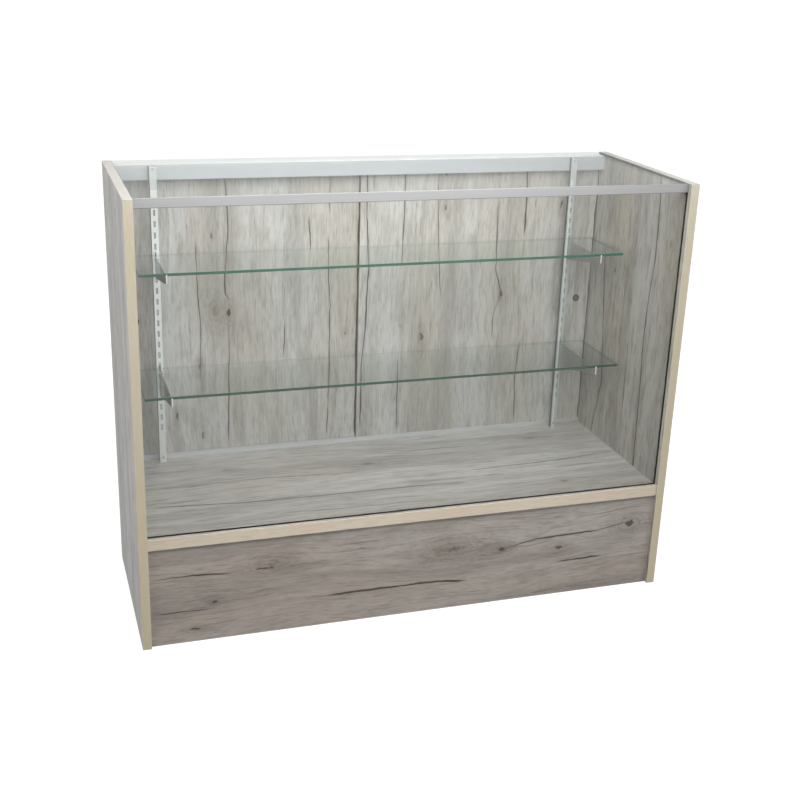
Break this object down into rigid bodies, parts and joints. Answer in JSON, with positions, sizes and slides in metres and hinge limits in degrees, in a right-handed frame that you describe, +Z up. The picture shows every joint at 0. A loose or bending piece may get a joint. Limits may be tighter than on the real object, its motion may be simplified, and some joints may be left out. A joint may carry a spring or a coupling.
{
  "type": "retail display showcase",
  "caption": "Floor-standing retail display showcase with glass front and top, glass shelves on slotted uprights, sliding rear doors and a closed base.",
  "frame": {"origin": "on the floor under the middle of the case", "axes": "+X to the right seen from the customer's side, the front faces -Y, +Z up"},
  "size_m": [1.219, 0.445, 0.965],
  "materials": {
    "barnwood_laminate": "matt grey weathered-plank laminate on particle board",
    "barnwood_hardboard": "matt grey weathered-plank laminate on thin hardboard",
    "edge_band": "satin pale beige edge banding",
    "glass": "clear tempered float glass with ground green edges",
    "satin_aluminium": "satin clear anodised",
    "zinc_plated_steel": "bright zinc plate",
    "zinc_fitting": "zinc plated",
    "beech": "plain turned beech",
    "dark_vinyl": "matt flexible vinyl",
    "glazing_tape": "pale translucent foam tape",
    "clear_vinyl": "clear soft vinyl",
    "dark_plastic": "moulded dark plastic"
  },
  "bodies": {
    "case": {"left_side_panel": "barnwood_laminate", "right_side_panel": "barnwood_laminate", "left_front_band": "edge_band", "right_front_band": "edge_band", "left_rear_band": "edge_band", "right_rear_band": "edge_band", "left_top_band": "edge_band", "right_top_band": "edge_band", "deck_panel": "barnwood_laminate", "deck_band": "edge_band", "kick_panel": "barnwood_laminate", "rear_stretcher": "barnwood_laminate", "cam_locks": "zinc_fitting", "cam_bolts": "zinc_fitting", "wood_dowels": "beech", "front_glass": "glass", "top_glass": "glass", "glass_channel_bottom": "dark_vinyl", "glass_channel_top": "dark_vinyl", "glass_channel_left": "dark_vinyl", "glass_channel_right": "dark_vinyl", "front_rail": "satin_aluminium", "rear_rail": "satin_aluminium", "front_rail_brackets": "zinc_fitting", "rear_rail_brackets": "zinc_fitting", "rail_screws": "zinc_fitting", "front_glazing_tape": "glazing_tape", "rear_glazing_tape": "glazing_tape", "lower_track": "satin_aluminium", "track_screws": "zinc_fitting", "left_standard": "zinc_plated_steel", "right_standard": "zinc_plated_steel", "standard_feet": "zinc_plated_steel", "standard_screws": "zinc_fitting", "upper_left_bracket": "zinc_plated_steel", "upper_right_bracket": "zinc_plated_steel", "lower_left_bracket": "zinc_plated_steel", "lower_right_bracket": "zinc_plated_steel", "upper_shelf_cushions": "clear_vinyl", "lower_shelf_cushions": "clear_vinyl"},
    "left_door": {"left_door": "barnwood_hardboard", "left_door_pull": "dark_plastic"},
    "right_door": {"right_door": "barnwood_hardboard", "right_door_pull": "dark_plastic"},
    "upper_shelf": {"upper_shelf": "glass"},
    "lower_shelf": {"lower_shelf": "glass"}
  },
  "joints": [
    {"name": "left_door_slide", "type": "slide", "parent": "case", "child": "left_door", "axis": [1, 0, 0], "range_m": [0, 0.566]},
    {"name": "right_door_slide", "type": "slide", "parent": "case", "child": "right_door", "axis": [-1, 0, 0], "range_m": [0, 0.566]},
    {"name": "upper_shelf_lift", "type": "slide", "parent": "case", "child": "upper_shelf", "axis": [0, 0, 1], "range_m": [0, 0.12]},
    {"name": "lower_shelf_lift", "type": "slide", "parent": "case", "child": "lower_shelf", "axis": [0, 0, 1], "range_m": [0, 0.12]}
  ]
}
